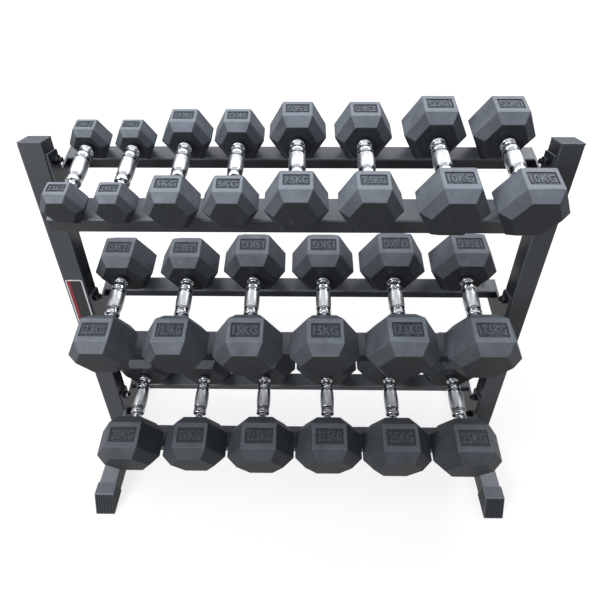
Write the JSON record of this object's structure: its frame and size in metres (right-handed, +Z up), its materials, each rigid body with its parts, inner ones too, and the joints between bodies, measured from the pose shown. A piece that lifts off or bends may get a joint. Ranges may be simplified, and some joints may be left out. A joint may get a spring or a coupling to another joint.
{
  "type": "dumbbell rack",
  "caption": "Three-tier steel dumbbell rack with leaning square-tube uprights and tilted angle rails, holding pairs of hexagonal rubber-headed dumbbells with chrome grips.",
  "frame": {"origin": "on the floor, in the middle of the loaded rack's outer box, midway between the two uprights", "axes": "+X to the right as the user faces the rack, +Y to the back, +Z up"},
  "size_m": [1.0632, 0.4836, 0.894],
  "materials": {
    "powder_coated_steel": "satin black powder coat with a fine texture",
    "black_plastic": "moulded, fine grain",
    "black_zinc_steel": "black zinc plated",
    "printed_badge": "printed film with a white border and a red stripe, no lettering",
    "black_rubber": "matt moulded rubber",
    "chrome_bar": "bright chrome with a knurled grip"
  },
  "bodies": {
    "rack": {"left_upright": "powder_coated_steel", "right_upright": "powder_coated_steel", "left_foot": "powder_coated_steel", "right_foot": "powder_coated_steel", "upright_top_caps": "black_plastic", "foot_end_sleeves": "black_plastic", "bottom_front_rail": "powder_coated_steel", "bottom_rear_rail": "powder_coated_steel", "middle_front_rail": "powder_coated_steel", "middle_rear_rail": "powder_coated_steel", "top_front_rail": "powder_coated_steel", "top_rear_rail": "powder_coated_steel", "bottom_side_brackets": "powder_coated_steel", "middle_side_brackets": "powder_coated_steel", "top_side_brackets": "powder_coated_steel", "bracket_bolts": "black_zinc_steel", "bracket_washers": "black_zinc_steel", "bracket_nuts": "black_zinc_steel", "rail_screws_and_nuts": "black_zinc_steel", "upright_badge": "printed_badge"},
    "dumbbell_20kg_left": {"dumbbell_20kg_left_heads": "black_rubber", "dumbbell_20kg_left_bar": "chrome_bar"},
    "dumbbell_20kg_right": {"dumbbell_20kg_right_heads": "black_rubber", "dumbbell_20kg_right_bar": "chrome_bar"},
    "dumbbell_22_5kg_left": {"dumbbell_22_5kg_left_heads": "black_rubber", "dumbbell_22_5kg_left_bar": "chrome_bar"},
    "dumbbell_22_5kg_right": {"dumbbell_22_5kg_right_heads": "black_rubber", "dumbbell_22_5kg_right_bar": "chrome_bar"},
    "dumbbell_25kg_left": {"dumbbell_25kg_left_heads": "black_rubber", "dumbbell_25kg_left_bar": "chrome_bar"},
    "dumbbell_25kg_right": {"dumbbell_25kg_right_heads": "black_rubber", "dumbbell_25kg_right_bar": "chrome_bar"},
    "dumbbell_12_5kg_left": {"dumbbell_12_5kg_left_heads": "black_rubber", "dumbbell_12_5kg_left_bar": "chrome_bar"},
    "dumbbell_12_5kg_right": {"dumbbell_12_5kg_right_heads": "black_rubber", "dumbbell_12_5kg_right_bar": "chrome_bar"},
    "dumbbell_15kg_left": {"dumbbell_15kg_left_heads": "black_rubber", "dumbbell_15kg_left_bar": "chrome_bar"},
    "dumbbell_15kg_right": {"dumbbell_15kg_right_heads": "black_rubber", "dumbbell_15kg_right_bar": "chrome_bar"},
    "dumbbell_17_5kg_left": {"dumbbell_17_5kg_left_heads": "black_rubber", "dumbbell_17_5kg_left_bar": "chrome_bar"},
    "dumbbell_17_5kg_right": {"dumbbell_17_5kg_right_heads": "black_rubber", "dumbbell_17_5kg_right_bar": "chrome_bar"},
    "dumbbell_2_5kg_left": {"dumbbell_2_5kg_left_heads": "black_rubber", "dumbbell_2_5kg_left_bar": "chrome_bar"},
    "dumbbell_2_5kg_right": {"dumbbell_2_5kg_right_heads": "black_rubber", "dumbbell_2_5kg_right_bar": "chrome_bar"},
    "dumbbell_5kg_left": {"dumbbell_5kg_left_heads": "black_rubber", "dumbbell_5kg_left_bar": "chrome_bar"},
    "dumbbell_5kg_right": {"dumbbell_5kg_right_heads": "black_rubber", "dumbbell_5kg_right_bar": "chrome_bar"},
    "dumbbell_7_5kg_left": {"dumbbell_7_5kg_left_heads": "black_rubber", "dumbbell_7_5kg_left_bar": "chrome_bar"},
    "dumbbell_7_5kg_right": {"dumbbell_7_5kg_right_heads": "black_rubber", "dumbbell_7_5kg_right_bar": "chrome_bar"},
    "dumbbell_10kg_left": {"dumbbell_10kg_left_heads": "black_rubber", "dumbbell_10kg_left_bar": "chrome_bar"},
    "dumbbell_10kg_right": {"dumbbell_10kg_right_heads": "black_rubber", "dumbbell_10kg_right_bar": "chrome_bar"}
  },
  "joints": [
    {"name": "dumbbell_20kg_left_lift", "type": "slide", "parent": "rack", "child": "dumbbell_20kg_left", "axis": [0.4305, -0.4292, 0.794], "range_m": [0, 0.13]},
    {"name": "dumbbell_20kg_right_lift", "type": "slide", "parent": "rack", "child": "dumbbell_20kg_right", "axis": [0, -0.9527, 0.304], "range_m": [0, 0.5]},
    {"name": "dumbbell_22_5kg_left_lift", "type": "slide", "parent": "rack", "child": "dumbbell_22_5kg_left", "axis": [0, -0.9527, 0.304], "range_m": [0, 0.5]},
    {"name": "dumbbell_22_5kg_right_lift", "type": "slide", "parent": "rack", "child": "dumbbell_22_5kg_right", "axis": [0, -0.9527, 0.304], "range_m": [0, 0.5]},
    {"name": "dumbbell_25kg_left_lift", "type": "slide", "parent": "rack", "child": "dumbbell_25kg_left", "axis": [0, -0.9527, 0.304], "range_m": [0, 0.5]},
    {"name": "dumbbell_25kg_right_lift", "type": "slide", "parent": "rack", "child": "dumbbell_25kg_right", "axis": [-0.4305, -0.4292, 0.794], "range_m": [0, 0.13]},
    {"name": "dumbbell_12_5kg_left_lift", "type": "slide", "parent": "rack", "child": "dumbbell_12_5kg_left", "axis": [0, -0.9527, 0.304], "range_m": [0, 0.5]},
    {"name": "dumbbell_12_5kg_right_lift", "type": "slide", "parent": "rack", "child": "dumbbell_12_5kg_right", "axis": [0, -0.9527, 0.304], "range_m": [0, 0.5]},
    {"name": "dumbbell_15kg_left_lift", "type": "slide", "parent": "rack", "child": "dumbbell_15kg_left", "axis": [0, -0.9527, 0.304], "range_m": [0, 0.5]},
    {"name": "dumbbell_15kg_right_lift", "type": "slide", "parent": "rack", "child": "dumbbell_15kg_right", "axis": [0, -0.9527, 0.304], "range_m": [0, 0.5]},
    {"name": "dumbbell_17_5kg_left_lift", "type": "slide", "parent": "rack", "child": "dumbbell_17_5kg_left", "axis": [0, -0.9527, 0.304], "range_m": [0, 0.5]},
    {"name": "dumbbell_17_5kg_right_lift", "type": "slide", "parent": "rack", "child": "dumbbell_17_5kg_right", "axis": [0, -0.9527, 0.304], "range_m": [0, 0.5]},
    {"name": "dumbbell_2_5kg_left_lift", "type": "slide", "parent": "rack", "child": "dumbbell_2_5kg_left", "axis": [0, -0.9527, 0.304], "range_m": [0, 0.5]},
    {"name": "dumbbell_2_5kg_right_lift", "type": "slide", "parent": "rack", "child": "dumbbell_2_5kg_right", "axis": [0, -0.9527, 0.304], "range_m": [0, 0.5]},
    {"name": "dumbbell_5kg_left_lift", "type": "slide", "parent": "rack", "child": "dumbbell_5kg_left", "axis": [0, -0.9527, 0.304], "range_m": [0, 0.5]},
    {"name": "dumbbell_5kg_right_lift", "type": "slide", "parent": "rack", "child": "dumbbell_5kg_right", "axis": [0, -0.9527, 0.304], "range_m": [0, 0.5]},
    {"name": "dumbbell_7_5kg_left_lift", "type": "slide", "parent": "rack", "child": "dumbbell_7_5kg_left", "axis": [0, -0.9527, 0.304], "range_m": [0, 0.5]},
    {"name": "dumbbell_7_5kg_right_lift", "type": "slide", "parent": "rack", "child": "dumbbell_7_5kg_right", "axis": [0, -0.9527, 0.304], "range_m": [0, 0.5]},
    {"name": "dumbbell_10kg_left_lift", "type": "slide", "parent": "rack", "child": "dumbbell_10kg_left", "axis": [0, -0.9527, 0.304], "range_m": [0, 0.5]},
    {"name": "dumbbell_10kg_right_lift", "type": "slide", "parent": "rack", "child": "dumbbell_10kg_right", "axis": [0, -0.9527, 0.304], "range_m": [0, 0.5]}
  ]
}
